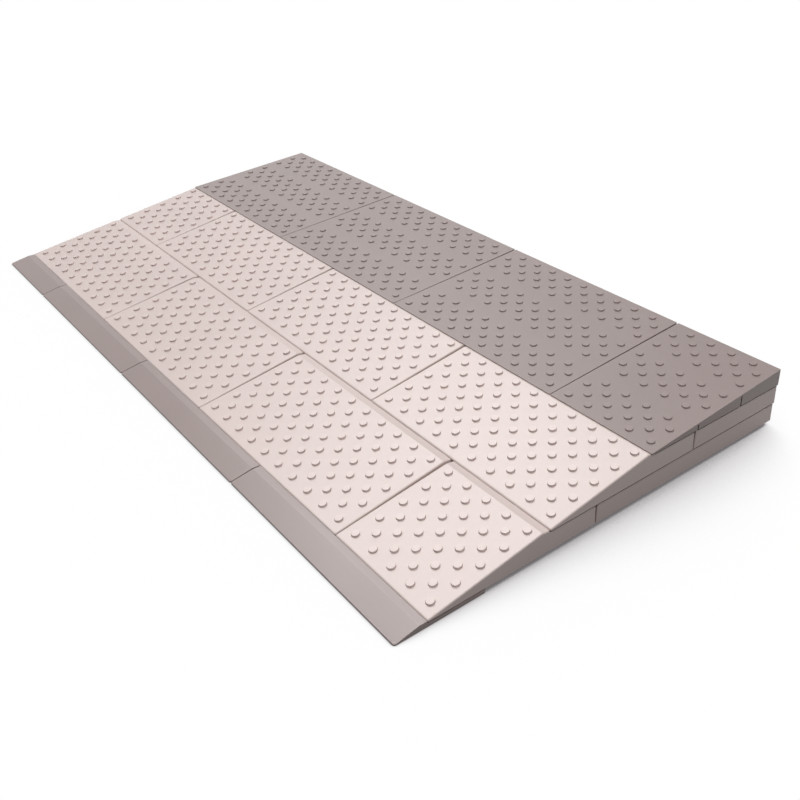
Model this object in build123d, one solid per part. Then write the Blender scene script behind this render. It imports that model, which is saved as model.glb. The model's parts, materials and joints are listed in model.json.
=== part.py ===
from build123d import *
import os
from math import atan2, cos, degrees, floor, hypot, radians, sin

# A modular threshold ramp of moulded plastic, in millimetres.
# +X runs across the ramp, +Y up the slope and +Z up, with the origin on the floor under its middle.
# Every module sits on a square grid of cells and has one leg under each of its cells.

# Grid and bond
cell = 60.0                         # side of a grid cell
full_cells = 4                      # cells across a full module
half_cells = 2                      # cells across a half module
tile_rows = 3                       # cells up the slope in a tile
base_cells = 3                      # cells across a base block
slope_rows = 2                      # cells of a tile that slope, before its seat
bond_half_left = (half_cells, full_cells, full_cells, full_cells)
bond_half_right = (full_cells, full_cells, full_cells, half_cells)

# Heights
layer_height = 19.5                 # from a module's wall foot to the seat on its top
leg_length = 4.5                    # legs below the wall foot, and the tail of a front edge
crest_rise = 1.0                    # crest of a slope above the seat behind it
tile_tip = 1.4                      # thickness of a ramp tile at its front
top_tip_step = 0.7                  # front of a top tile above the crest before it
top_back = 16.5                     # height of a top tile at its back
edge_tip = 1.2                      # thickness of a front edge at its nose

# Places along the slope
tile_setback = 7.5                  # front of a ramp tile behind its first cell line
top_setback = 1.8                   # front of a top tile behind its first cell line
edge_nose = 22.0                    # nose of a front edge before its first cell line
lip_gap = 0.3                       # foot of a lip to the tile behind it
lip_clearance = 0.1                 # underside of a top tile above the lip that it covers

# Mouldings
side_gap = 0.3                      # wall to its cell line
corner_radius = 2.0                 # upright corners of a module
draft_angle = 1.75                  # degrees that the walls lean in
edge_round = 0.6                    # rounding along the outer edges of a top face
steepest_top = 25.0                 # degrees up to which a sloping face is a top face
wall = 2.6                          # outer walls
plate = 2.6                         # top plate
rib = 2.0                           # ribs on the cell lines
saw_slot = 1.2                      # width of the slots where a top tile may be sawn shorter
saw_roof = 1.4                      # plate left above a saw slot

# Legs, sockets and connector pegs
leg_diameter = 18.0
leg_fit = 0.3                       # leg to the socket round it
leg_seat_gap = 0.2                  # end of a leg to the peg collar under it
socket_wall = 2.2
peg_diameter = 13.0
peg_fit = 0.3                       # peg to the bore round it
peg_reach = 6.0                     # peg above and below its collar
peg_end_gap = 0.5                   # end of a peg to the end of its bore
collar_diameter = 17.0
collar_thickness = 1.0

# Studs
stud_pitch = 24.0                   # between studs of one row, with the next row half a pitch on
stud_margin = 12.0                  # first stud from a module's side
stud_slack = 0.1                    # by which the last stud of a row may come nearer the side
stud_first_row = 12.0               # first row from the front of the slope
stud_last_margin = 5.0              # least slope behind the last row
stud_base = 7.2
stud_top = 6.0
stud_height = 1.7
stud_root = 0.3                     # depth that a stud is sunk into its plate

# Worked out from the sizes above
lip_length = tile_setback - lip_gap
tile_crest = layer_height + crest_rise
top_tip = crest_rise + top_tip_step
socket_diameter = leg_diameter + 2 * leg_fit
socket_depth = leg_length + leg_seat_gap + collar_thickness
bore_diameter = peg_diameter + 2 * peg_fit
bore_depth = peg_reach + peg_end_gap
boss_diameter = socket_diameter + 2 * socket_wall
boss_depth = socket_depth + bore_depth + socket_wall
saw_rib = saw_slot + 2 * rib
cells_wide = sum(bond_half_left)
bases_wide = cells_wide // base_cells
base_spacing = (cells_wide - base_cells) / (bases_wide - 1)
base_starts = [round(k * base_spacing) for k in range(bases_wide)]
second_row = slope_rows
third_row = second_row + slope_rows
rows_deep = third_row + tile_rows
ground_base_rows = rows_deep - tile_rows
middle_base_rows = rows_deep - tile_rows - second_row
tile_back = tile_rows * cell - side_gap
ground_z = leg_length
middle_z = ground_z + layer_height
top_z = middle_z + layer_height
ramp_back = rows_deep * cell - side_gap
to_frame = Pos(-cells_wide * cell / 2, (edge_nose - ramp_back) / 2, 0)
on_end = (Align.CENTER, Align.CENTER, Align.MIN)


def prism(points, cells_across):
    """Side view given as Y and Z points, run across the given number of cells."""
    return extrude(Plane.YZ * Polygon(*points, align=None), cells_across * cell, dir=(1, 0, 0))


def drafted_block(cells_across, front, back, height):
    """Block with rounded upright corners whose walls lean in towards the top."""
    width = cells_across * cell - 2 * side_gap
    outline = RectangleRounded(width, back - front, corner_radius)
    return Pos(cells_across * cell / 2, (front + back) / 2, 0) * extrude(outline, height, taper=draft_angle)


def softened(block, thinnest):
    """Rounds the outer edges of the faces that look up, within the block's thinnest edge."""
    upper = block.faces().filter_by(lambda face: face.normal_at().Z > cos(radians(steepest_top)))
    edges = [edge for face in upper for edge in face.edges()]
    outer = [edge for edge in edges if sum(1 for other in edges if other.is_same(edge)) == 1]
    return fillet(outer, min(edge_round, thinnest / 2))


def cell_centres(cells_across, rows):
    """Middles of the cells in the given rows."""
    return [Pos((i + 0.5) * cell, (j + 0.5) * cell, 0) for j in rows for i in range(cells_across)]


def span(index, count, between, offset=0.0):
    """Clear width of a cell: walls at the ends of the module, ribs of the given width between."""
    low = side_gap + wall if index == 0 else index * cell + offset + between / 2
    high = count * cell - side_gap - wall if index == count - 1 else (index + 1) * cell + offset - between / 2
    return low, high


def hollow(cells_across, rows, room, height, cross_rib=rib, cross_offset=0.0):
    """Pockets under the plate, one to a cell, with a column left standing over each leg."""
    pockets = []
    for i in range(cells_across):
        for j in range(rows):
            left, right = span(i, cells_across, rib)
            front, back = span(j, rows, cross_rib, cross_offset)
            pocket = Box(right - left, back - front, height, align=on_end)
            pockets.append(Pos((left + right) / 2, (front + back) / 2, 0) * pocket)
    columns = [spot * Cylinder(leg_diameter / 2, height, align=on_end)
               for spot in cell_centres(cells_across, range(rows))]
    return (Part() + pockets) & room - columns


def with_legs(shell, cells_across, rows):
    """Adds a leg under each cell, bored for a peg."""
    spots = cell_centres(cells_across, range(rows))
    leg = Pos(0, 0, -leg_length) * Cylinder(leg_diameter / 2, leg_length, align=on_end)
    bore = Pos(0, 0, -leg_length) * Cylinder(bore_diameter / 2, bore_depth, align=on_end)
    return shell + [spot * leg for spot in spots] - [spot * bore for spot in spots]


def socket_bosses(cells_across, rows):
    """Bosses under the seat, round the sockets of the given rows."""
    boss = Pos(0, 0, layer_height - boss_depth) * Cylinder(boss_diameter / 2, boss_depth, align=on_end)
    return [spot * boss for spot in cell_centres(cells_across, rows)]


def with_sockets(shell, cells_across, rows):
    """Cuts a socket for a leg into the seat of each cell, and a bore for a peg below it."""
    floor_z = layer_height - socket_depth
    socket = Pos(0, 0, floor_z) * Cylinder(socket_diameter / 2, socket_depth, align=on_end)
    bore = Pos(0, 0, floor_z - bore_depth) * Cylinder(bore_diameter / 2, bore_depth, align=on_end)
    spots = cell_centres(cells_across, rows)
    return shell - [spot * cut for spot in spots for cut in (socket, bore)]


def studs(cells_across, front, front_z, back, back_z, clear_rows=()):
    """Tapered studs on a slope, each row half a pitch on from the last, none on a clear row."""
    slope = atan2(back_z - front_z, back - front)
    length = hypot(back_z - front_z, back - front)
    row_pitch = stud_pitch / 2
    rows = floor((length - stud_first_row - stud_last_margin) / row_pitch) + 1
    width = cells_across * cell - 2 * stud_margin
    stud = Cone(stud_base / 2, stud_top / 2, stud_height + stud_root, align=on_end)
    placed = []
    for j in range(rows):
        along = stud_first_row + j * row_pitch
        y = front + along * cos(slope)
        if any(abs(y - clear) < row_pitch / 2 for clear in clear_rows):
            continue
        inset = 0 if j % 2 == 0 else stud_pitch / 2
        count = floor((width - 2 * inset + stud_slack) / stud_pitch) + 1
        for i in range(count):
            spot = Pos(stud_margin + inset + i * stud_pitch, y, front_z + along * sin(slope))
            placed.append(spot * Rot(degrees(slope), 0, 0) * Pos(0, 0, -stud_root) * stud)
    return placed


def ramp_tile(cells_across):
    """Sloped tile whose crest falls by a short lip to the seat for the next layer."""
    crest = slope_rows * cell
    rise = (tile_crest - tile_tip) / (crest - tile_setback)
    side_view = [(tile_setback, 0), (tile_setback, tile_tip), (crest, tile_crest),
                 (crest + lip_length, layer_height), (tile_back, layer_height), (tile_back, 0)]
    room_front = tile_setback + (plate + rib - tile_tip) / rise
    room_top = layer_height - plate
    room_crest = tile_setback + (layer_height - tile_tip) / rise
    room_view = [(room_front, 0), (room_front, rib), (room_crest, room_top),
                 (tile_back, room_top), (tile_back, 0)]
    outer = drafted_block(cells_across, tile_setback, tile_back, tile_crest)
    outer = softened(outer & prism(side_view, cells_across), tile_tip)
    seat_rows = range(slope_rows, tile_rows)
    void = hollow(cells_across, tile_rows, prism(room_view, cells_across), layer_height)
    shell = with_legs(outer - (void - socket_bosses(cells_across, seat_rows)), cells_across, tile_rows)
    shell = with_sockets(shell, cells_across, seat_rows)
    return shell + studs(cells_across, tile_setback, tile_tip, crest, tile_crest)


def top_tile(cells_across):
    """Flatter tile of the top row, relieved over the lip before it and slotted for sawing."""
    rise = (top_back - top_tip) / (tile_back - top_setback)
    lip_fall = crest_rise / lip_length
    relief = crest_rise - lip_fall * top_setback + lip_clearance
    relief_end = lip_length + lip_clearance / lip_fall
    side_view = [(top_setback, relief), (top_setback, top_tip), (tile_back, top_back),
                 (tile_back, 0), (relief_end, 0)]
    room_front = top_setback + (plate + rib - top_tip) / rise
    room_view = [(room_front, 0), (room_front, rib), (tile_back, top_back - plate), (tile_back, 0)]
    outer = drafted_block(cells_across, top_setback, tile_back, top_back)
    outer = softened(outer & prism(side_view, cells_across), top_tip - relief)
    room = prism(room_view, cells_across)
    void = hollow(cells_across, tile_rows, room, top_back, saw_rib, top_setback)
    shell = with_legs(outer - void, cells_across, tile_rows)
    saw_lines = [top_setback + j * cell for j in range(1, tile_rows)]
    for line in saw_lines:
        depth = top_tip + rise * (line - saw_slot / 2 - top_setback) - saw_roof
        slot = Box(cells_across * cell, saw_slot, depth, align=on_end)
        shell = shell - Pos(cells_across * cell / 2, line, 0) * slot
    return shell + studs(cells_across, top_setback, top_tip, tile_back, top_back, saw_lines)


def base_block(rows):
    """Flat block that carries the modules of the next layer, with a socket over every leg."""
    back = rows * cell - side_gap
    outer = softened(drafted_block(base_cells, side_gap, back, layer_height), layer_height)
    room_view = [(0, 0), (0, layer_height - plate), (rows * cell, layer_height - plate), (rows * cell, 0)]
    void = hollow(base_cells, rows, prism(room_view, base_cells), layer_height)
    shell = with_legs(outer - (void - socket_bosses(base_cells, range(rows))), base_cells, rows)
    return with_sockets(shell, base_cells, range(rows))


def front_edge(cells_across):
    """Thin nose that meets the floor, with a tail that the first row's legs stand through."""
    back = cell - side_gap
    side_view = [(-edge_nose, 0), (-edge_nose, edge_tip), (0, leg_length + crest_rise),
                 (lip_length, leg_length), (back, leg_length), (back, 0)]
    outer = drafted_block(cells_across, -edge_nose, back, leg_length + crest_rise)
    hole = Cylinder(socket_diameter / 2, leg_length, align=on_end)
    holes = [spot * hole for spot in cell_centres(cells_across, range(1))]
    return softened(outer & prism(side_view, cells_across), edge_tip) - holes


def connector_peg():
    """Peg with a collar, which lies on the floor of a socket."""
    shank = Pos(0, 0, -peg_reach) * Cylinder(peg_diameter / 2, 2 * peg_reach + collar_thickness, align=on_end)
    return shank + Cylinder(collar_diameter / 2, collar_thickness, align=on_end)


def starts(bond):
    """First cell of each module in a row."""
    return [sum(bond[:k]) for k in range(len(bond))]


def lay_row(name, bond, make, first_row, height):
    """Lays full and half modules side by side, each as its own node."""
    made = {cells: make(cells) for cells in set(bond)}
    laid = {}
    for start, cells in zip(starts(bond), bond):
        fulls = sum(1 for node in laid if "full" in node)
        node = f"{name}_half" if cells == half_cells else f"{name}_full_{fulls + 1}"
        laid[node] = to_frame * Pos(start * cell, first_row * cell, height) * made[cells]
    return laid


def lay_bases(name, rows, first_row, height):
    """Lays base blocks at their first cells, each as its own node."""
    block = base_block(rows)
    return {f"{name}_{k + 1}": to_frame * Pos(start * cell, first_row * cell, height) * block
            for k, start in enumerate(base_starts)}


def socket_cells(first_row, base_rows):
    """Cells of a layer that have a socket: the seats of its tiles, and its base blocks."""
    seats = {(i, first_row + j) for i in range(cells_wide) for j in range(slope_rows, tile_rows)}
    bases = {(start + i, first_row + tile_rows + j)
             for start in base_starts for i in range(base_cells) for j in range(base_rows)}
    return seats | bases


def peg_cells(modules, first_row, rows, sockets):
    """Cells that hold a peg: the outer sockets under the first and last row of each module."""
    held = set()
    for start, cells in modules:
        for j in (first_row, first_row + rows - 1):
            under = [i for i in range(start, start + cells) if (i, j) in sockets]
            held |= {(under[0], j), (under[-1], j)}
    return held


def lay_pegs(spots, height):
    """A group of pegs in the sockets at the given cells of a seat at the given height."""
    peg = connector_peg()
    floor_z = height - socket_depth
    return Compound(children=[to_frame * Pos((i + 0.5) * cell, (j + 0.5) * cell, floor_z) * peg
                              for i, j in sorted(spots)])


nodes = {}
nodes.update(lay_row("front_edge", bond_half_left, front_edge, 0, 0))
nodes.update(lay_row("lower_tile", bond_half_right, ramp_tile, 0, ground_z))
nodes.update(lay_bases("ground_base", ground_base_rows, tile_rows, ground_z))
nodes.update(lay_row("upper_tile", bond_half_left, ramp_tile, second_row, middle_z))
nodes.update(lay_bases("middle_base", middle_base_rows, second_row + tile_rows, middle_z))
nodes.update(lay_row("top_tile", bond_half_right, top_tile, third_row, top_z))

upper_tiles = list(zip(starts(bond_half_left), bond_half_left))
top_tiles = list(zip(starts(bond_half_right), bond_half_right))
middle_bases = [(start, base_cells) for start in base_starts]
ground_sockets = socket_cells(0, ground_base_rows)
middle_sockets = socket_cells(second_row, middle_base_rows)
ground_pegs = (peg_cells(upper_tiles, second_row, tile_rows, ground_sockets)
               | peg_cells(middle_bases, second_row + tile_rows, middle_base_rows, ground_sockets))
middle_pegs = peg_cells(top_tiles, third_row, tile_rows, middle_sockets)
nodes["ground_connector_pegs"] = lay_pegs(ground_pegs, middle_z)
nodes["middle_connector_pegs"] = lay_pegs(middle_pegs, top_z)

os.makedirs("parts", exist_ok=True)
for name, shape in nodes.items():
    export_step(shape, f"parts/{name}.step")
print(f"{len(nodes)} nodes on a grid {cells_wide * cell:.0f} mm wide")
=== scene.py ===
# %% [markdown]
# # A modular threshold ramp
# The real ramp is a kit of moulded plastic modules: thin front edges, pale studded ramp tiles, darker
# top tiles, and the base blocks that carry them. Legs and loose pegs plug them together on one square
# grid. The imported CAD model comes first, as a fixed frame. Every piece below is modelled once, near the
# origin, and then set down where the frame says that its module lies.

# %% Load the frame
import json
import math

import bmesh
import bpy
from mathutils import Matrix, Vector


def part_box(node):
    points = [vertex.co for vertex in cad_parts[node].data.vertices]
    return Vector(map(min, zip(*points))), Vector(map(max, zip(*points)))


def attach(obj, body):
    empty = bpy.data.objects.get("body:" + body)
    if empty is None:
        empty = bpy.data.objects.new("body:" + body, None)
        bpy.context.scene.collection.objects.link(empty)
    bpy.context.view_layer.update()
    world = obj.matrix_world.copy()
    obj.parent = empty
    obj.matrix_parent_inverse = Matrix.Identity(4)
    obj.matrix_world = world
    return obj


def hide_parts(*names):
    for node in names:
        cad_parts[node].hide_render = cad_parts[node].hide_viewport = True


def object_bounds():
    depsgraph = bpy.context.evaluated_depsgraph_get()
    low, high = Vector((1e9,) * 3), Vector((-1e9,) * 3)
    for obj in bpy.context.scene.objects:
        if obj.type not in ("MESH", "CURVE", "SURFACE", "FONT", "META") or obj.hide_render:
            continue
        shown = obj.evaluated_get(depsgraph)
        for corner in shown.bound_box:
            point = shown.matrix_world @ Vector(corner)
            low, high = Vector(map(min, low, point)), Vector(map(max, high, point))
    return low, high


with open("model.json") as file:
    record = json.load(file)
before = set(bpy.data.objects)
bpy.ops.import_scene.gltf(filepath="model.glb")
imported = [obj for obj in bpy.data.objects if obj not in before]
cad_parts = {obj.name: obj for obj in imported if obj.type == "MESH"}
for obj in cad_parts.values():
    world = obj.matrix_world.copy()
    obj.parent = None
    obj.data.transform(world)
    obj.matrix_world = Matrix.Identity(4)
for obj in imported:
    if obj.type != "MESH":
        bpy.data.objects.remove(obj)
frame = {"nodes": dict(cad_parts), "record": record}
cad_low, cad_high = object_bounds()
size = cad_high - cad_low
print(f"{len(frame['nodes'])} CAD nodes, {size.x:.3f} x {size.y:.3f} x {size.z:.3f} m")

# %% [markdown]
# ## The grid
# All modules share a square cell, and each has one leg under every cell. The sizes here are the ones
# that several pieces use. A size that only one piece needs is named where that piece is made. The
# corner of the grid comes from the frame: the half front edge starts on the first cell line.

# %% Sizes that the modules share
mm = 0.001
cell = 60 * mm
full_cells = 4
half_cells = 2
tile_rows = 3
side_gap = 0.3 * mm
layer_height = 19.5 * mm
leg_length = 4.5 * mm
crest_rise = 1.0 * mm
edge_nose = 22 * mm
lip_length = 7.2 * mm
tile_back = tile_rows * cell - side_gap
corner_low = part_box("front_edge_half")[0]
grid_corner = Vector((corner_low.x - side_gap, corner_low.y + edge_nose, 0))
print(f"first grid corner at {grid_corner.x:.4f}, {grid_corner.y:.4f} m")

# %% [markdown]
# ## Working in edit mode
# An operator acts on whatever is selected, so each step first selects what it needs and nothing else.
# By hand that is a click or a box select. Here a small test on place or normal picks the same vertices,
# edges or faces, which is easier to repeat and never picks the wrong side.

# %% Selecting by a test
def only(piece):
    """Makes one object the selected and active one."""
    bpy.ops.object.select_all(action="DESELECT")
    piece.select_set(True)
    bpy.context.view_layer.objects.active = piece


def choose(kind, test):
    """In edit mode, selects the vertices, edges or faces that pass a test, and nothing else."""
    bpy.ops.mesh.select_mode(type=kind)
    bpy.ops.mesh.select_all(action="DESELECT")
    shape = bmesh.from_edit_mesh(bpy.context.object.data)
    shape.normal_update()
    parts = {"VERT": shape.verts, "EDGE": shape.edges, "FACE": shape.faces}[kind]
    chosen = [part for part in parts if test(part)]
    for part in chosen:
        part.select_set(True)
    shape.select_flush_mode()
    bmesh.update_edit_mesh(bpy.context.object.data)
    return len(chosen)


print("selection helpers ready")

# %% [markdown]
# ## A block with a side view
# Nearly every form on the ramp is a block whose side view changes along the slope: it starts thin,
# rises to a crest and falls by a short lip to a seat. One could draw that outline and extrude it.
# Starting from a cube is closer to how the walls behave: bisect adds a ring of edges at each station of
# the side view, the rings are moved to their heights, and scaling each ring a little narrower gives the
# walls their draft, the lean that lets a moulding leave its mould.

# %% Blocks from a cube
close = 0.01 * mm


def add_block(name, low, high):
    """A cube primitive that fills the box between two corners."""
    bpy.ops.object.select_all(action="DESELECT")
    low, high = Vector(low), Vector(high)
    bpy.ops.mesh.primitive_cube_add(size=1, location=(low + high) / 2, scale=high - low)
    bpy.ops.object.transform_apply(location=True, rotation=True, scale=True)
    bpy.context.object.name = name
    return bpy.context.object


def sloped_block(name, left, right, stations, lean=0.0, end_lean=0.0):
    """A block shaped by stations of (y, bottom, top), with walls that lean in as they rise."""
    front, back = stations[0][0], stations[-1][0]
    block = add_block(name, (left, front, 0), (right, back, 1))
    bpy.ops.object.mode_set(mode="EDIT")
    for y, _, _ in stations[1:-1]:
        bpy.ops.mesh.select_all(action="SELECT")
        bpy.ops.mesh.bisect(plane_co=(0, y, 0), plane_no=(0, 1, 0))
    for y, bottom, top in stations:
        inward = end_lean * ((y == front) - (y == back))
        for level, height in ((0, bottom), (1, top)):
            choose("VERT", lambda v: abs(v.co.y - y) < close and abs(v.co.z - level) < close)
            bpy.ops.transform.translate(value=(0, inward * height, height - level))
            narrower = 1 - 2 * lean * height / (right - left)
            ring_middle = ((left + right) / 2, y, height)
            bpy.ops.transform.resize(value=(narrower, 1, 1), center_override=ring_middle)
    bpy.ops.object.mode_set(mode="OBJECT")
    return block


test_block = sloped_block("test_block", 0, cell, [(0, 0, leg_length), (cell, 0, layer_height)])
print("a test wedge measures", [round(x / mm, 2) for x in test_block.dimensions], "mm")
bpy.data.objects.remove(test_block)

# %% [markdown]
# ## Finding the edges to round
# Each kind of edge on a block is rounded in its own way, so each has its own test: the upright corners,
# the border of the top or of the underside, and a crest between two slopes. By hand one would click
# them in edge mode. The normals of the faces beside an edge tell the kinds apart just as well.

# %% Tests for edges
level_limit = math.radians(25)
facing_up = math.cos(level_limit)
crest_turn = math.radians(5)
corner_zone = 1 * mm
upright_share = 0.9


def is_upright_corner(edge, y):
    """An edge that rises at one end of a block."""
    start, end = (v.co for v in edge.verts)
    rises = abs(end.z - start.z) > upright_share * (end - start).length
    return rises and abs(start.y - y) < corner_zone


def is_border(edge, way):
    """An edge between a face that looks up (way 1) or down (way -1) and one that doesn't."""
    looks_there = [way * face.normal.z > facing_up for face in edge.link_faces]
    return len(set(looks_there)) == 2


def is_crest(edge):
    """A ridge between two faces that look up in different directions."""
    looks_up = all(face.normal.z > facing_up for face in edge.link_faces)
    return looks_up and edge.is_convex and edge.calc_face_angle() > crest_turn


print(f"a face within {math.degrees(level_limit):.0f} degrees of level counts as a top")

# %% [markdown]
# ## Round corners and a soft rim
# A moulded edge is never sharp. The upright corners of every module have a small radius, and finer ones
# run round the foot and the top. All are bevels, first the corners and then the rest, so that foot and
# rim follow the round corners. A limited dissolve first clears the rings' edges off the flat walls,
# because a bevel goes wrong where it meets them. Each kind of module brings its own sizes. The leaning
# walls make each layer overhang the one below by a millimetre, and that shows as a dark line.

# %% Softening a moulding
corner_steps = 4
rim_steps = 3
foot_steps = 2
crest_radius = 0.3 * mm
crest_steps = 2
end_draft = math.radians(1.2)
flat_turn = math.radians(0.5)


def moulded_body(name, cells_across, stations, front_corner, back_corner, rim, foot, draft):
    """A drafted block that spans the given cells, with round corners and a rounded rim and foot."""
    leans = math.tan(draft), math.tan(end_draft)
    body = sloped_block(name, side_gap, cells_across * cell - side_gap, stations, *leans)
    bpy.ops.object.mode_set(mode="EDIT")
    bpy.ops.mesh.select_all(action="SELECT")
    bpy.ops.mesh.dissolve_limited(angle_limit=flat_turn)
    for (y, _, _), radius in ((stations[0], front_corner), (stations[-1], back_corner)):
        choose("EDGE", lambda e: is_upright_corner(e, y))
        bpy.ops.mesh.bevel(offset=radius, segments=corner_steps, affect="EDGES")
    if choose("EDGE", is_crest):
        bpy.ops.mesh.bevel(offset=crest_radius, segments=crest_steps, affect="EDGES")
    choose("EDGE", lambda e: is_border(e, -1))
    bpy.ops.mesh.bevel(offset=foot, segments=foot_steps, affect="EDGES")
    rims = choose("EDGE", lambda e: is_border(e, 1))
    bpy.ops.mesh.bevel(offset=rim, segments=rim_steps, affect="EDGES")
    bpy.ops.object.mode_set(mode="OBJECT")
    print(f"{name}: rounded {rims} rim edges")
    return body


print(f"end walls lean by {math.degrees(end_draft):.1f} degrees")

# %% [markdown]
# ## Repeating a shape
# Legs, sockets and studs repeat on the grid. Each is modelled once and copied with its own mesh, and
# the copies are joined into one object. An array modifier could repeat them too, but the studs skip
# rows on some tiles, so a list of places is plainer.

# %% Copies
bar_sides = 32


def round_bar(name, diameter, bottom, top, sides):
    """An upright cylinder on the Z axis between two heights."""
    bpy.ops.object.select_all(action="DESELECT")
    middle = (0, 0, (bottom + top) / 2)
    bpy.ops.mesh.primitive_cylinder_add(vertices=sides, radius=diameter / 2,
                                        depth=top - bottom, location=middle)
    bpy.ops.object.transform_apply(location=True, rotation=True, scale=True)
    bpy.context.object.name = name
    return bpy.context.object


def repeat(original, places, tilt=0.0):
    """Copies an object to each place, tilted about X, joins the copies and removes the original."""
    copies = []
    for place in places:
        only(original)
        bpy.ops.object.duplicate()
        bpy.context.object.location = place
        bpy.context.object.rotation_euler.x = tilt
        copies.append(bpy.context.object)
    only(copies[0])
    for copy in copies:
        copy.select_set(True)
    bpy.ops.object.join()
    bpy.ops.object.transform_apply(location=True, rotation=True, scale=True)
    joined = bpy.context.object
    bpy.data.objects.remove(original)
    return joined


def cell_middles(cells_across, rows):
    """Middles of the cells in the given rows."""
    return [Vector(((i + 0.5) * cell, (j + 0.5) * cell, 0)) for j in rows for i in range(cells_across)]


print("cells of a half tile:", len(cell_middles(half_cells, range(tile_rows))))

# %% [markdown]
# ## Joining and cutting
# A moulding leaves its mould in one piece, with its studs and legs, so here too each module ends as one
# body. A boolean modifier joins a tool to that body or cuts it away. The exact solver is slower than
# the fast one, but it also copes with faces that touch. The modifier is applied at once, because the
# next step works on its result.

# %% Booleans
def combine(body, tool, operation):
    """Joins a tool to a body with UNION or cuts it away with DIFFERENCE, and removes the tool."""
    only(body)
    bpy.ops.object.modifier_add(type="BOOLEAN")
    change = body.modifiers[-1]
    change.operation = operation
    change.solver = "EXACT"
    change.object = tool
    bpy.ops.object.modifier_apply(modifier=change.name)
    bpy.data.objects.remove(tool)


test_body = add_block("test_body", (-cell, -cell, 0), (cell, cell, layer_height))
combine(test_body, round_bar("test_bar", cell, leg_length, cell, bar_sides), "UNION")
print("a block with a round bar on it has", len(test_body.data.polygons), "faces")
bpy.data.objects.remove(test_body)

# %% [markdown]
# ## The hollow underside
# A thick lump of plastic would sink and warp as it cools, so a real module is a shell: a plate on top,
# walls round it and ribs on the cell lines. Each cell's hollow is modelled as the mould's core would
# be, a block with a sloping roof, and cut away from the body. Insetting and extruding the underside
# would do it too, but a roof that follows the slope is easier on a block of its own.

# %% Pockets
wall = 2.6 * mm
plate = 2.6 * mm
rib = 2 * mm
spare = 1 * mm


def height_at(outline, y):
    """Height of an outline of (y, height) points at a place along the slope."""
    for (y1, z1), (y2, z2) in zip(outline, outline[1:]):
        if y <= y2:
            break
    return z1 + (z2 - z1) * (y - y1) / (y2 - y1)


def cut_pockets(body, cells_across, rows, roof, cross_rib=rib, cross_shift=0.0):
    """Cuts one pocket under each cell, up to a roof given as (y, height) points."""
    depth = rows * cell
    for i in range(cells_across):
        left = side_gap + wall if i == 0 else i * cell + rib / 2
        right = (i + 1) * cell - (side_gap + wall if i == cells_across - 1 else rib / 2)
        for j in range(rows):
            front = side_gap + wall if j == 0 else j * cell + cross_shift + cross_rib / 2
            back = (j + 1) * cell + cross_shift - cross_rib / 2
            if j == rows - 1:
                back = depth - side_gap - wall
            front = max(front, roof[0][0])
            breaks = [y for y, _ in roof if front < y < back]
            stations = [(y, -spare, height_at(roof, y)) for y in [front, *breaks, back]]
            combine(body, sloped_block("pocket", left, right, stations), "DIFFERENCE")


print(f"pockets leave a {plate / mm:.1f} mm plate and {rib / mm:.1f} mm ribs")

# %% [markdown]
# ## Legs with bores
# Every cell stands on a round leg, which runs on inside the pocket as a post and holds up the plate.
# Both are one cylinder with a chamfer at its foot. Its top is bisected along the slope, so that it ends
# inside the plate and nothing shows above. The leg is then bored from below for a connector peg.

# %% Posts and bores
leg_diameter = 18 * mm
leg_fit = 0.3 * mm
leg_chamfer = 0.5 * mm
peg_diameter = 13 * mm
peg_reach = 6 * mm
peg_end_gap = 0.5 * mm
bore_diameter = peg_diameter + 2 * leg_fit
bore_depth = peg_reach + peg_end_gap


def add_posts(body, cells_across, rows, top):
    """Puts a post at each cell's middle: a leg below the walls and a column up into the plate."""
    for j in range(rows):
        y = (j + 0.5) * cell
        post = round_bar("post", leg_diameter, -leg_length, layer_height + spare, bar_sides)
        bpy.ops.object.mode_set(mode="EDIT")
        choose("EDGE", lambda e: all(abs(v.co.z + leg_length) < close for v in e.verts))
        bpy.ops.mesh.bevel(offset=leg_chamfer, segments=1, affect="EDGES")
        ahead, behind = height_at(top, y + leg_diameter / 2), height_at(top, y - leg_diameter / 2)
        inside = height_at(top, y) - plate / 2
        bpy.ops.mesh.select_all(action="SELECT")
        upwards = Vector((0, behind - ahead, leg_diameter)).normalized()
        bpy.ops.mesh.bisect(plane_co=(0, 0, inside), plane_no=upwards, clear_outer=True, use_fill=True)
        bpy.ops.object.mode_set(mode="OBJECT")
        combine(body, repeat(post, cell_middles(cells_across, [j])), "UNION")


def bore_legs(body, cells_across, rows):
    """Bores each leg from below for a peg."""
    bore = round_bar("bore", bore_diameter, -leg_length - spare, bore_depth - leg_length, bar_sides)
    combine(body, repeat(bore, cell_middles(cells_across, range(rows))), "DIFFERENCE")


print(f"legs are {leg_diameter / mm:.0f} mm wide, with bores of {bore_diameter / mm:.1f} mm")

# %% [markdown]
# ## A rebate round a seat
# The layers don't meet at their outer edge: a narrow slit stays open there and shows as a dark line. So
# the seat has a rebate along its sides and back. A strip could be lowered in edit mode, but by now the
# rim has many small faces. Cutting a plain bar away is simpler and leaves clean corners.

# %% Rebates
rebate_depth = 1.5 * mm
rebate_width = 1.8 * mm


def cut_rebate(body, cells_across, front, back):
    """Lowers a strip of the seat along its left and right side and its back."""
    right = cells_across * cell
    bottom, top = layer_height - rebate_depth, layer_height + spare
    bars = [((-spare, front, bottom), (side_gap + rebate_width, back + spare, top)),
            ((right - side_gap - rebate_width, front, bottom), (right + spare, back + spare, top)),
            ((rebate_width, back - rebate_width, bottom), (right - rebate_width, back + spare, top))]
    for low, high in bars:
        combine(body, add_block("rebate", low, high), "DIFFERENCE")


print(f"rebates are {rebate_width / mm:.1f} mm wide and {rebate_depth / mm:.1f} mm deep")

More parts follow.
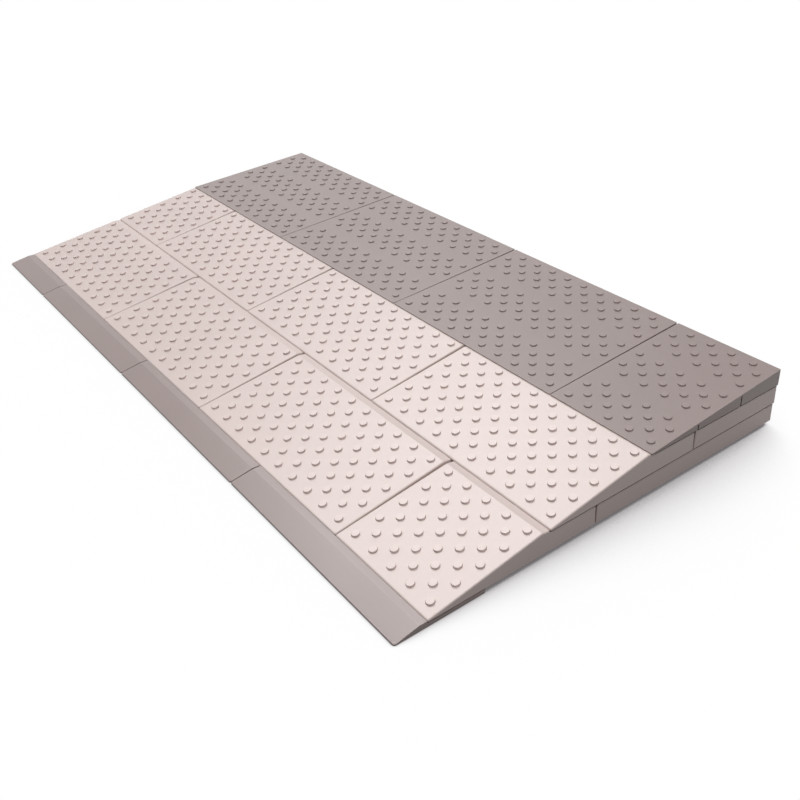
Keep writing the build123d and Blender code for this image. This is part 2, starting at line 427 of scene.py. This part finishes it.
# %% [markdown]
# ## Sockets in a seat
# Where the next layer stands, the seat has a socket over every leg. Its floor has a deeper bore for the
# lower half of a peg. The cutter is one stepped shape: a cylinder whose lower face is inset and
# extruded. A boss is joined on under the seat first, so that the socket has a wall of its own inside
# the pocket.

# %% Sockets
socket_diameter = leg_diameter + 2 * leg_fit
socket_depth = leg_length + 1.2 * mm
socket_wall = 2.2 * mm
boss_depth = socket_depth + bore_depth + socket_wall


def add_sockets(body, cells_across, rows):
    """Joins bosses under the seat of the given rows and sinks a stepped socket into each."""
    places = cell_middles(cells_across, rows)
    boss_diameter = socket_diameter + 2 * socket_wall
    boss_foot, boss_top = layer_height - boss_depth, layer_height - plate / 2
    boss = round_bar("boss", boss_diameter, boss_foot, boss_top, bar_sides)
    combine(body, repeat(boss, places), "UNION")
    floor = layer_height - socket_depth
    socket = round_bar("socket", socket_diameter, floor, layer_height + spare, bar_sides)
    bpy.ops.object.mode_set(mode="EDIT")
    choose("FACE", lambda f: f.normal.z < -facing_up)
    bpy.ops.mesh.inset(thickness=(socket_diameter - bore_diameter) / 2, use_even_offset=True)
    bpy.ops.mesh.extrude_region_move(TRANSFORM_OT_translate={"value": (0, 0, -bore_depth)})
    bpy.ops.object.mode_set(mode="OBJECT")
    combine(body, repeat(socket, places), "DIFFERENCE")


print(f"sockets are {socket_diameter / mm:.1f} mm wide and {socket_depth / mm:.1f} mm deep")

# %% [markdown]
# ## A stud
# The studs give grip in the wet. Each is a short cone with a flat top and a softened edge: a cylinder
# whose upper face is scaled down and whose upper edge is bevelled. There are over nine hundred on the
# ramp, so the stud has only a few dozen faces, and smooth shading makes up for the rest. Those on the
# darker tiles are a little lower.

# %% One stud
stud_base = 7.8 * mm
stud_top = 7.1 * mm
stud_root = 0.3 * mm
stud_round = 0.3 * mm
stud_round_steps = 2
stud_sides = 16


def shape_stud(height):
    """A tapered stud on the Z axis, with its foot on the plane z = 0."""
    stud = round_bar("stud", stud_base, -stud_root, height, stud_sides)
    bpy.ops.object.mode_set(mode="EDIT")
    choose("FACE", lambda f: f.normal.z > facing_up)
    narrower = stud_top / stud_base
    bpy.ops.transform.resize(value=(narrower, narrower, 1), center_override=(0, 0, height))
    choose("EDGE", lambda e: all(v.co.z > height - close for v in e.verts))
    bpy.ops.mesh.bevel(offset=stud_round, segments=stud_round_steps, affect="EDGES")
    bpy.ops.object.mode_set(mode="OBJECT")
    return stud


print(f"studs taper from {stud_base / mm:.1f} to {stud_top / mm:.1f} mm")

# %% [markdown]
# ## Rows of studs
# The studs stand in staggered rows and are tilted with the slope. Their feet reach a little into the
# plate, and the union trims them off there. Wheels rub the tops, and the tops also get a painted
# highlight, so their vertices get a value in an attribute for wear and painted highlight, which the
# material reads later. A boolean can mix up such values, so they are written after the union.

# %% Studs in staggered rows
stud_pitch = 24 * mm
stud_margin = 12 * mm
stud_first_row = 12 * mm
stud_last_margin = 5 * mm


def mark_worn_and_highlit(piece, test):
    """Writes 1 to the attribute for wear and painted highlight of the vertices whose places pass a test.
    """
    wear_and_highlight = piece.data.attributes.new("wear_and_highlight", "FLOAT", "POINT")
    for vertex in piece.data.vertices:
        wear_and_highlight.data[vertex.index].value = float(test(vertex.co))


def add_studs(body, cells_across, height, front, back, clear_rows=()):
    """Joins studs to a slope between two (y, height) points, with none on a clear row."""
    rise, run = back[1] - front[1], back[0] - front[0]
    slope, length = math.atan2(rise, run), math.hypot(rise, run)
    row_pitch = stud_pitch / 2
    rows = int((length - stud_first_row - stud_last_margin) / row_pitch) + 1
    places = []
    for j in range(rows):
        along = stud_first_row + j * row_pitch
        y = front[0] + along * math.cos(slope)
        if any(abs(y - clear) < row_pitch / 2 for clear in clear_rows):
            continue
        inset = stud_margin + (j % 2) * row_pitch
        count = round((cells_across * cell - 2 * inset) / stud_pitch) + 1
        z = front[1] + along * math.sin(slope)
        places += [(inset + i * stud_pitch, y, z) for i in range(count)]
    combine(body, repeat(shape_stud(height), places, slope), "UNION")
    foot, upwards = Vector((0, *front)), Vector((0, -math.sin(slope), math.cos(slope)))
    # The stud tops are marked for wear and a painted highlight.
    mark_worn_and_highlit(body, lambda place: abs((place - foot).dot(upwards) - height) < close)
    return len(places)


print(f"rows of studs are {stud_pitch / 2 / mm:.0f} mm apart")

# %% [markdown]
# ## Shading the finished mesh
# After the booleans the flat faces are many-sided and the rounded strips are narrow. Smooth shading
# with an angle limit keeps real corners crisp, and a weighted normal modifier lets the large flat faces
# decide the normal, so the plates stay flat and only the bevels carry the bend of the light.

# %% Smooth bevels, flat plates
smooth_limit = math.radians(40)


def finish_mesh(piece):
    """Shades a piece smooth up to an angle, with the large faces deciding the normals."""
    only(piece)
    bpy.ops.object.shade_smooth_by_angle(angle=smooth_limit)
    bpy.ops.object.modifier_add(type="WEIGHTED_NORMAL")
    piece.modifiers[-1].keep_sharp = True
    bpy.ops.object.modifier_apply(modifier=piece.modifiers[-1].name)
    shape = bmesh.new()
    shape.from_mesh(piece.data)
    open_edges = sum(1 for edge in shape.edges if not edge.is_manifold)
    volume = shape.calc_volume() / (10 * mm) ** 3
    print(f"{piece.name}: {len(shape.faces)} faces, {open_edges} open edges, "
          f"{volume:.1f} cubic centimetres")
    shape.free()


print(f"edges that turn by more than {math.degrees(smooth_limit):.0f} degrees stay crisp")

# %% [markdown]
# ## The ramp tile
# The pale tile makes up the two lower rows. It starts thin, with a round front, behind the row before
# it, rises to a crest and falls by a lip to the seat of the next layer. The slope and the seat below
# are that side view, and the roof of the pockets runs parallel under it. The rebate starts just before
# the tile that will stand on the seat, so that a small dark hole shows where two tiles meet.

# %% Mould a ramp tile
slope_rows = 2
tile_setback = 7.5 * mm
tile_tip = 1.6 * mm
tile_stud = 1.7 * mm
tile_softness = {"front_corner": 1.5 * mm, "back_corner": 1.5 * mm, "rim": 1.3 * mm,
                 "foot": 0.2 * mm, "draft": math.radians(2.6)}
rebate_notch = 0.5 * mm
crest_y = slope_rows * cell
tile_crest = layer_height + crest_rise


def mould_ramp_tile(cells_across):
    """A sloped tile with studs, a lip and a seat with sockets."""
    slope = [(tile_setback, tile_tip), (crest_y, tile_crest)]
    seat = [(crest_y + lip_length, layer_height), (tile_back, layer_height)]
    stations = [(y, 0, height) for y, height in (*slope, *seat)]
    tile = moulded_body(f"ramp_tile_{cells_across}", cells_across, stations, **tile_softness)
    cut_rebate(tile, cells_across, crest_y + tile_setback - rebate_notch, tile_back)
    rise = (tile_crest - tile_tip) / (crest_y - tile_setback)
    room_front = tile_setback + (plate + rib - tile_tip) / rise
    room_crest = tile_setback + (layer_height - tile_tip) / rise
    room_top = layer_height - plate
    roof = [(room_front, rib), (room_crest, room_top), (tile_back, room_top)]
    cut_pockets(tile, cells_across, tile_rows, roof)
    add_posts(tile, cells_across, tile_rows, [*slope, *seat])
    add_sockets(tile, cells_across, range(slope_rows, tile_rows))
    bore_legs(tile, cells_across, tile_rows)
    count = add_studs(tile, cells_across, tile_stud, *slope)
    finish_mesh(tile)
    print(f"{tile.name} carries {count} studs")
    return tile


ramp_tiles = {cells: mould_ramp_tile(cells) for cells in (full_cells, half_cells)}

# %% [markdown]
# ## The top tile
# The darker tile of the last row has a flatter slope and no seat. Its front edge rides over the lip of
# the tile before it, so its underside is relieved there. Two narrow slots run across below the plate:
# along them the tile can be sawn shorter on site, and the studs leave those lines clear.

# %% Mould a top tile
top_setback = 1.8 * mm
top_tip = crest_rise + 0.7 * mm
top_back = 16.5 * mm
top_stud = 1.25 * mm
top_softness = {"front_corner": 1 * mm, "back_corner": 1 * mm, "rim": 0.25 * mm,
                "foot": 0.3 * mm, "draft": math.radians(1.75)}
lip_clearance = 0.1 * mm
saw_slot = 1.5 * mm
saw_roof = 1.4 * mm
saw_rib = saw_slot + 2 * rib
saw_lines = [top_setback + j * cell for j in range(1, tile_rows)]


def mould_top_tile(cells_across):
    """A flatter tile for the last row, relieved over the lip before it and slotted for sawing."""
    lip_fall = crest_rise / lip_length
    relief = crest_rise - lip_fall * top_setback + lip_clearance
    relief_end = lip_length + lip_clearance / lip_fall
    top = [(top_setback, top_tip), (tile_back, top_back)]
    rise = (top_back - top_tip) / (tile_back - top_setback)
    stations = [(top_setback, relief, top_tip), (relief_end, 0, height_at(top, relief_end)),
                (tile_back, 0, top_back)]
    room_front = top_setback + (plate + rib - top_tip) / rise
    tile = moulded_body(f"top_tile_{cells_across}", cells_across, stations, **top_softness)
    roof = [(room_front, rib), (tile_back, top_back - plate)]
    cut_pockets(tile, cells_across, tile_rows, roof, saw_rib, top_setback)
    add_posts(tile, cells_across, tile_rows, top)
    bore_legs(tile, cells_across, tile_rows)
    for line in saw_lines:
        depth = height_at(top, line - saw_slot / 2) - saw_roof
        low = (-spare, line - saw_slot / 2, -spare)
        high = (cells_across * cell + spare, line + saw_slot / 2, depth)
        combine(tile, add_block("saw_slot", low, high), "DIFFERENCE")
    count = add_studs(tile, cells_across, top_stud, *top, saw_lines)
    finish_mesh(tile)
    print(f"{tile.name} carries {count} studs")
    return tile


top_tiles = {cells: mould_top_tile(cells) for cells in (full_cells, half_cells)}

# %% [markdown]
# ## The front edge
# The first thing a wheel meets is a thin nose of the darker plastic. Behind its crest a level ledge
# ends just before the tiles. A lower tail runs on under the first row, with a slit above it, and the
# tiles' legs stand through its round holes, which keeps it in place.

# %% Mould a front edge
edge_tip = 1.2 * mm
edge_tail = cell + 2.6 * mm
ledge_end = lip_length + 0.2 * mm
ledge_drop = 0.1 * mm
tail_height = leg_length - 1.1 * mm
edge_softness = {"front_corner": 2 * mm, "back_corner": 2 * mm, "rim": 0.3 * mm,
                 "foot": 0.15 * mm, "draft": math.radians(2.6)}


def mould_front_edge(cells_across):
    """A thin nose with a tail that the first row's legs stand through."""
    ledge = leg_length + crest_rise
    stations = [(-edge_nose, 0, edge_tip), (0, 0, ledge), (ledge_end, 0, ledge),
                (ledge_end + ledge_drop, 0, tail_height), (edge_tail, 0, tail_height)]
    edge = moulded_body(f"front_edge_{cells_across}", cells_across, stations, **edge_softness)
    hole = round_bar("hole", socket_diameter, -spare, leg_length + spare, bar_sides)
    combine(edge, repeat(hole, cell_middles(cells_across, [0])), "DIFFERENCE")
    finish_mesh(edge)
    return edge


front_edges = {cells: mould_front_edge(cells) for cells in (full_cells, half_cells)}

# %% [markdown]
# ## The base blocks
# Flat blocks fill the space behind a row of tiles and carry the layer above. They are the same kind of
# shell, with a socket over every leg. The blocks of the ground layer are longer than those of the
# middle one, because each layer starts further up the slope.

# %% Mould the base blocks
base_cells = 3
base_softness = {"front_corner": 1 * mm, "back_corner": 1 * mm, "rim": 0.4 * mm,
                 "foot": 0.3 * mm, "draft": math.radians(2.6)}


def mould_base_block(rows):
    """A flat block with a leg under each cell and a socket over it."""
    back = rows * cell - side_gap
    stations = [(side_gap, 0, layer_height), (back, 0, layer_height)]
    block = moulded_body(f"base_block_{rows}", base_cells, stations, **base_softness)
    cut_rebate(block, base_cells, -spare, back)
    room_top = layer_height - plate
    cut_pockets(block, base_cells, rows, [(0, room_top), (back, room_top)])
    add_posts(block, base_cells, rows, [(0, layer_height), (back, layer_height)])
    add_sockets(block, base_cells, range(rows))
    bore_legs(block, base_cells, rows)
    finish_mesh(block)
    return block


ground_rows, middle_rows = 4, 2
base_blocks = {rows: mould_base_block(rows) for rows in (ground_rows, middle_rows)}

# %% [markdown]
# ## The connector pegs
# A peg stands in the bore of a socket, its collar lies on the socket's floor, and the bore of the leg
# above slips over its upper half. The peg is a cylinder with its ends bevelled to a chamfer, so that it
# finds the bore. Its side could be divided and extruded into the collar, but joining a short wider
# cylinder on is quicker and gives the same shape.

# %% Turn a peg
collar_diameter = 17 * mm
collar_thickness = 1 * mm
peg_chamfer = 0.8 * mm


def turn_peg():
    """A collared peg on the Z axis, with the underside of its collar on the plane z = 0."""
    peg = round_bar("peg", peg_diameter, -peg_reach, peg_reach + collar_thickness, bar_sides)
    bpy.ops.object.mode_set(mode="EDIT")
    choose("EDGE", lambda e: abs(e.verts[0].co.z - e.verts[1].co.z) < close)
    bpy.ops.mesh.bevel(offset=peg_chamfer, segments=1, affect="EDGES")
    bpy.ops.object.mode_set(mode="OBJECT")
    collar = round_bar("collar", collar_diameter, 0, collar_thickness, bar_sides)
    combine(peg, collar, "UNION")
    return peg


print(f"a peg is {(2 * peg_reach + collar_thickness) / mm:.0f} mm long")

# %% [markdown]
# ## Pegs in their sockets
# Not every socket holds a peg: those under the corners of the tile or block above are enough to lock
# two layers together. The CAD model knows which, so the vertices of its pegs are sorted into the cells
# of the grid. The pegs of one layer stay together as one piece.

# %% Place the pegs
def peg_cells(node):
    """Cells of the grid that hold one of the pegs in a CAD node."""
    corners = (v.co - grid_corner for v in frame["nodes"][node].data.vertices)
    return sorted({(int(corner.x // cell), int(corner.y // cell)) for corner in corners})


peg_groups = {}
for node in ("ground_connector_pegs", "middle_connector_pegs"):
    collar_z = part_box(node)[0].z + peg_reach
    places = [grid_corner + Vector(((i + 0.5) * cell, (j + 0.5) * cell, collar_z))
              for i, j in peg_cells(node)]
    peg_groups[node] = repeat(turn_peg(), places)
    peg_groups[node].name = f"{node}_set"
    finish_mesh(peg_groups[node])
    print(f"{node}: {len(places)} pegs")

# %% [markdown]
# ## Setting the modules down
# Every module is copied, each copy with its own mesh, and moved to the place of its CAD node. The
# node's box gives that place: its lowest corner is the module's front left corner. Each copy then rides
# on the node's body, so that it lifts with it, and stands for the node, which is hidden.

# %% Where a piece belongs
bodies = frame["record"]["behaviour"]["bodies"]
body_of_node = {node: body for body, nodes in bodies.items() for node in nodes}
slot_of_node = {part["node"]: part["material_slot"] for part in frame["record"]["subparts"]}
pieces = {}


def stand_for(piece, node):
    """Names a finished piece after its node, puts it on the node's body and hides the node."""
    piece.name = f"{node}_moulding"
    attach(piece, body_of_node[node])
    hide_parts(node)
    pieces[node] = piece


def set_down(module, node):
    """Copies a module to the place of a CAD node."""
    lowest = Vector(min(corner) for corner in zip(*module.bound_box))
    only(module)
    bpy.ops.object.duplicate()
    copy = bpy.context.object
    copy.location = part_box(node)[0] - lowest
    bpy.ops.object.transform_apply(location=True, rotation=True, scale=True)
    stand_for(copy, node)


print(f"{len(bodies)} bodies carry {len(slot_of_node)} pieces")

# %% [markdown]
# ## Every module in its place
# The node's name tells which module it is, and whether it is a full or a half one. Half modules at
# alternate sides shift the joints from row to row, as in a brick wall, so no joint runs through. The
# first mouldings have done their work when all copies lie in place, and are removed.

# %% One copy for each node
module_kinds = {"front_edge": front_edges, "lower_tile": ramp_tiles,
                "upper_tile": ramp_tiles, "top_tile": top_tiles}
for node in sorted(frame["nodes"]):
    kind = node.rsplit("_full_")[0].removesuffix("_half")
    if node in peg_groups:
        stand_for(peg_groups[node], node)
    elif kind in module_kinds:
        set_down(module_kinds[kind][half_cells if node.endswith("_half") else full_cells], node)
    else:
        set_down(base_blocks[ground_rows if node.startswith("ground") else middle_rows], node)
for module in (*ramp_tiles.values(), *top_tiles.values(), *front_edges.values(), *base_blocks.values()):
    bpy.data.objects.remove(module)
print(f"{len(pieces)} pieces set down")

# %% [markdown]
# ## Writing shader maths
# A material's pattern is arithmetic on numbers that change over the surface. The small class below
# wraps a socket, so that such sums can be written as plain expressions, and each operator adds a Math
# node. Every other node comes from its one method.

# %% A socket with operators
class Shade:
    """An output socket in a node tree, with operators that add Math nodes."""

    def __init__(self, tree, socket=None):
        self.tree = tree
        self.socket = socket

    def node(self, kind, settings=None, inputs=None, output=0):
        """Adds a node, sets its settings, then fills or links its inputs, and gives one output."""
        added = self.tree.nodes.new(kind)
        for name, value in (settings or {}).items():
            setattr(added, name, value)
        for key, value in (inputs or {}).items():
            if isinstance(value, Shade):
                self.tree.links.new(value.socket, added.inputs[key])
            else:
                added.inputs[key].default_value = value
        return Shade(self.tree, added.outputs[output])

    def math(self, operation, *values):
        """Adds a Math node."""
        return self.node("ShaderNodeMath", {"operation": operation}, dict(enumerate(values)))

    def __add__(self, other):
        return self.math("ADD", self, other)

    def __sub__(self, other):
        return self.math("SUBTRACT", self, other)

    def __rsub__(self, other):
        return self.math("SUBTRACT", other, self)

    def __mul__(self, other):
        return self.math("MULTIPLY", self, other)

    __radd__ = __add__
    __rmul__ = __mul__


print("shader sums ready")

# %% [markdown]
# ## Colour and noise
# Two kinds of node serve every pattern here. Noise gives a number that wanders over the surface, and a
# Mix node turns that number into a colour between two others, because a Math node would turn a colour
# grey. A colour that is the same all over is worked out in Python.

# %% Tools for a pattern
mix_factor, mix_first, mix_second, mix_result = 0, 6, 7, 2
noise_middle = 0.5


def mix_colours(shade, factor, first, second):
    """A colour between two others. A Mix node's colour sockets are known by their numbers."""
    inputs = {mix_factor: factor, mix_first: first, mix_second: second}
    return shade.node("ShaderNodeMix", {"data_type": "RGBA"}, inputs, mix_result)


def noise(shade, place, scale, detail):
    """Noise from 0 to 1 with about as many features in a metre as the scale says."""
    inputs = {"Vector": place, "Scale": scale, "Detail": detail}
    return shade.node("ShaderNodeTexNoise", None, inputs)


def toned(colour, tone):
    """A colour made darker or lighter, with an alpha of 1."""
    return (*(min(1, tone * channel) for channel in colour), 1)


print("a grey of 0.5, made lighter:", toned((0.5, 0.5, 0.5), 1.1))

# %% [markdown]
# ## Moulded plastic
# All modules are the same matte plastic in different colours. Seen close, it has the fine grain of an
# etched mould, a cloudy variation where the melt flowed, and stud tops made a little lighter, partly by
# rubbing and partly as a painted highlight. All of it is noise on object coordinates, in metres, so the
# pattern stays with the piece when it is lifted. The grain is bump, because it is far too fine to model.

# %% Plastic material
clouds_per_metre = 14
cloud_detail = 3
flecks_per_metre = 420
rubs_per_metre = 90
grains_per_metre = 1500
fine_detail = 2
cloud_share, fleck_share = 0.7, 0.3
darkest, lightest, worn_and_highlit_tone = 0.93, 1.05, 1.1
wear_and_highlight_share = 0.5
wear_and_highlight_even, wear_and_highlight_patchy = 0.8, 0.2
cloud_gloss, fleck_gloss = 0.1, 0.06
grain_strength = 0.25
grain_depth = 0.05 * mm


def moulded_plastic(name, colour, roughness):
    """A matte plastic with mould grain, cloudy colour, and stud tops lightened by wear and a painted
    highlight.
    """
    material = bpy.data.materials.new(name)
    material.use_nodes = True
    tree = material.node_tree
    shade = Shade(tree)
    place = shade.node("ShaderNodeTexCoord", output="Object")
    cloud = noise(shade, place, clouds_per_metre, cloud_detail)
    fleck = noise(shade, place, flecks_per_metre, fine_detail)
    grain = noise(shade, place, grains_per_metre, fine_detail)
    wear_and_highlight = shade.node("ShaderNodeAttribute", {"attribute_name": "wear_and_highlight"}, output="Fac")
    rubbed_and_highlit = wear_and_highlight * (wear_and_highlight_even + wear_and_highlight_patchy * noise(shade, place, rubs_per_metre, fine_detail))
    mottle = cloud_share * cloud + fleck_share * fleck
    tone = mix_colours(shade, mottle, toned(colour, darkest), toned(colour, lightest))
    gloss = cloud_gloss * (cloud - noise_middle) + fleck_gloss * (fleck - noise_middle)
    bump = {"Strength": grain_strength, "Distance": grain_depth, "Height": grain}
    shader = tree.nodes["Principled BSDF"]
    inputs = {
        # Stud tops are drawn lighter, partly as wear and partly as a painted highlight.
        "Base Color": mix_colours(shade, wear_and_highlight_share * rubbed_and_highlit, tone, toned(colour, worn_and_highlit_tone)),
        "Roughness": roughness + gloss,
        "Normal": shade.node("ShaderNodeBump", None, bump),
    }
    for key, value in inputs.items():
        tree.links.new(value.socket, shader.inputs[key])
    return material


print(f"mould grain with {grains_per_metre} grains to a metre")

# %% [markdown]
# The tiles and base blocks are a pale warm grey, and the front edges and top tiles a darker grey-brown,
# which marks where the ramp begins and ends. The hidden pegs are darker still. Each piece gets the
# plastic of the slot that the record names for its node.

# %% Five plastics
plastics = {
    "edge_plastic": moulded_plastic("dark edge plastic", (0.29, 0.227, 0.215), 0.31),
    "tile_plastic": moulded_plastic("pale tile plastic", (0.63, 0.522, 0.492), 0.33),
    # Painted shade: the base plastic is the tiles' pale plastic made a little darker, for the shaded
    # walls of the base blocks.
    "base_plastic": moulded_plastic("pale base plastic darkened as painted shade", (0.60, 0.49, 0.46), 0.38),
    "top_plastic": moulded_plastic("dark top plastic", (0.267, 0.208, 0.197), 0.38),
    "peg_plastic": moulded_plastic("peg plastic", (0.16, 0.15, 0.145), 0.42),
}
for node, piece in pieces.items():
    piece.data.materials.clear()
    piece.data.materials.append(plastics[slot_of_node[node]])
print(f"{len(plastics)} plastics on {len(pieces)} pieces")

# %% [markdown]
# ## Light
# The ramp is shown on a white floor that runs out to a white background. A sun lamp with a wide disc
# acts as a soft box. One hangs almost overhead: it lights the slopes fully and only grazes the walls,
# so that a dark line stays under every foot. One stands behind and to the left, where the camera sees
# its sheen in the pale slopes, most of all at the near end. A weak one fills in from the front left,
# and an even sky does the rest.

# %% Lamps
softbox_from = Vector((0.35, 0, 1))
softbox_strength = 1.6
softbox_angle = math.radians(22)
sheen_from = Vector((-0.555, 0.262, 0.8))
sheen_strength = 1.42
sheen_angle = math.radians(30)
fill_from = Vector((-0.63, -0.777, 0.5))
fill_strength = 0.45
fill_angle = math.radians(30)


def add_sun(name, towards, strength, angle):
    """A sun lamp that shines from a direction, with a disc of the given angle."""
    bpy.ops.object.light_add(type="SUN", location=towards)
    lamp = bpy.context.object
    lamp.name = name
    lamp.rotation_euler = towards.to_track_quat("Z", "Y").to_euler()
    lamp.data.energy = strength
    lamp.data.angle = angle


add_sun("overhead softbox", softbox_from, softbox_strength, softbox_angle)
add_sun("sheen softbox", sheen_from, sheen_strength, sheen_angle)
add_sun("front fill", fill_from, fill_strength, fill_angle)
print(f"overhead lamp {softbox_strength}, sheen lamp {sheen_strength}, fill lamp {fill_strength}")

# %% [markdown]
# ## Rays that show the background
# The background must be white without lighting the ramp any more. The Light Path node tells which rays
# come straight from the camera, from a mirror or through glass. Those rays will see white, and all
# others a plain floor and a weak sky.

# %% Direct rays
white = (1, 1, 1, 1)


def seen_directly(shade):
    """1 for rays that show the background: straight from the camera, mirrored or through glass."""
    camera, glossy, through = (shade.node("ShaderNodeLightPath", output=f"Is {kind} Ray")
                               for kind in ("Camera", "Glossy", "Transmission"))
    return shade.math("MINIMUM", camera + glossy + through, 1)


print("such rays see a white of", white)

# %% [markdown]
# ## A white floor with a shadow
# A floor that only glows white would show no shadow. An ambient occlusion node measures how much of the
# sky each point of the floor can see, and that share paints the soft shadow beside the tall side into
# the glow. Below the walls, where only the legs touch the ground, the painted shade is darker still.

# %% Floor material
floor_bounce = 0.08
floor_white = 1.12
floor_tilt = math.radians(25)
shadow_reach = 0.4
shadow_samples = 16
shadow_tint = (1, 0.92, 0.955, 1)
gap_shade = 0.15
gap_start = 0.56
gap_edge = 3.5


def open_sky(shade):
    """Share of the sky, tilted a little to the back, that the floor sees, with painted shade in the gap.
    """
    tilt = {"Y": math.sin(floor_tilt), "Z": math.cos(floor_tilt)}
    upwards = shade.node("ShaderNodeCombineXYZ", None, tilt)
    inputs = {"Distance": shadow_reach, "Normal": upwards}
    unblocked = shade.node("ShaderNodeAmbientOcclusion", {"samples": shadow_samples}, inputs, "AO")
    below_floor = (1 - math.cos(floor_tilt)) / 2
    share = (unblocked - below_floor) * (1 / (1 - below_floor))
    # Painted shade: under the walls the floor is drawn darker than its share of the sky gives.
    painted_gap_shade = shade.math("MINIMUM", share, gap_start + gap_edge * (share - gap_start))
    return shade.math("MAXIMUM", painted_gap_shade, gap_shade)


def white_floor():
    """A floor that the camera sees as white, with the ramp's shadow painted on it."""
    material = bpy.data.materials.new("white floor")
    material.use_nodes = True
    tree = material.node_tree
    shade = Shade(tree)
    bounce = shade.node("ShaderNodeBsdfDiffuse", None, {"Color": (floor_bounce,) * 3 + (1,)})
    bright = shade.math("MINIMUM", floor_white * open_sky(shade), 1)
    tint = mix_colours(shade, bright, shadow_tint, white)
    scaled = {"Vector": tint, "Scale": bright}
    colour = shade.node("ShaderNodeVectorMath", {"operation": "SCALE"}, scaled)
    shown = shade.node("ShaderNodeEmission", None, {"Color": colour})
    floor = shade.node("ShaderNodeMixShader", None, {0: seen_directly(shade), 1: bounce, 2: shown})
    tree.links.new(floor.socket, tree.nodes["Material Output"].inputs["Surface"])
    return material


print(f"shadows reach {shadow_reach} m")

# %% [markdown]
# ## The floor itself
# One large plane is enough. It is so wide that its border lies far behind the ramp, where white meets
# white and nothing shows. It isn't a piece of the ramp.

# %% Floor
floor_size = 60.0
bpy.ops.object.select_all(action="DESELECT")
bpy.ops.mesh.primitive_plane_add(size=floor_size)
floor = bpy.context.object
floor.name = "floor"
floor.data.materials.append(white_floor())
print(f"floor {floor_size:.0f} m wide")

# %% [markdown]
# ## A weak sky
# The world is white in the same way: rays that show the background see it at full strength, and all
# others get a weak even light, which keeps the shadows from going black. The Standard view shows each
# colour about as it is written.

# %% Sky
sky_strength = 0.1
world = bpy.data.worlds.new("white studio")
bpy.context.scene.world = world
world.use_nodes = True
sky = Shade(world.node_tree)
shown = seen_directly(sky)
strength = shown + sky_strength * (1 - shown)
background = world.node_tree.nodes["Background"]
background.inputs["Color"].default_value = white
world.node_tree.links.new(strength.socket, background.inputs["Strength"])
bpy.context.scene.view_settings.view_transform = "Standard"
print(f"sky strength {sky_strength}")

# %% [markdown]
# ## The camera
# The photograph looks at the ramp from its front right, a little above, with a normal lens. The place
# and turn were found by matching the corners of the modules in the picture. The small shift centres the
# ramp in the square image as the photograph does.

# %% Camera
camera_place = (0.7869, -0.4695, 0.4815)
camera_turn = tuple(math.radians(angle) for angle in (57.37, 0.02, 50.95))
bpy.ops.object.camera_add(location=camera_place, rotation=camera_turn)
camera = bpy.context.object
camera.data.sensor_width = 36
camera.data.lens = 40.97
camera.data.shift_x = -0.0612
camera.data.shift_y = 0.0074
bpy.context.scene.camera = camera
print(f"camera {Vector(camera_place).length:.2f} m from the origin")
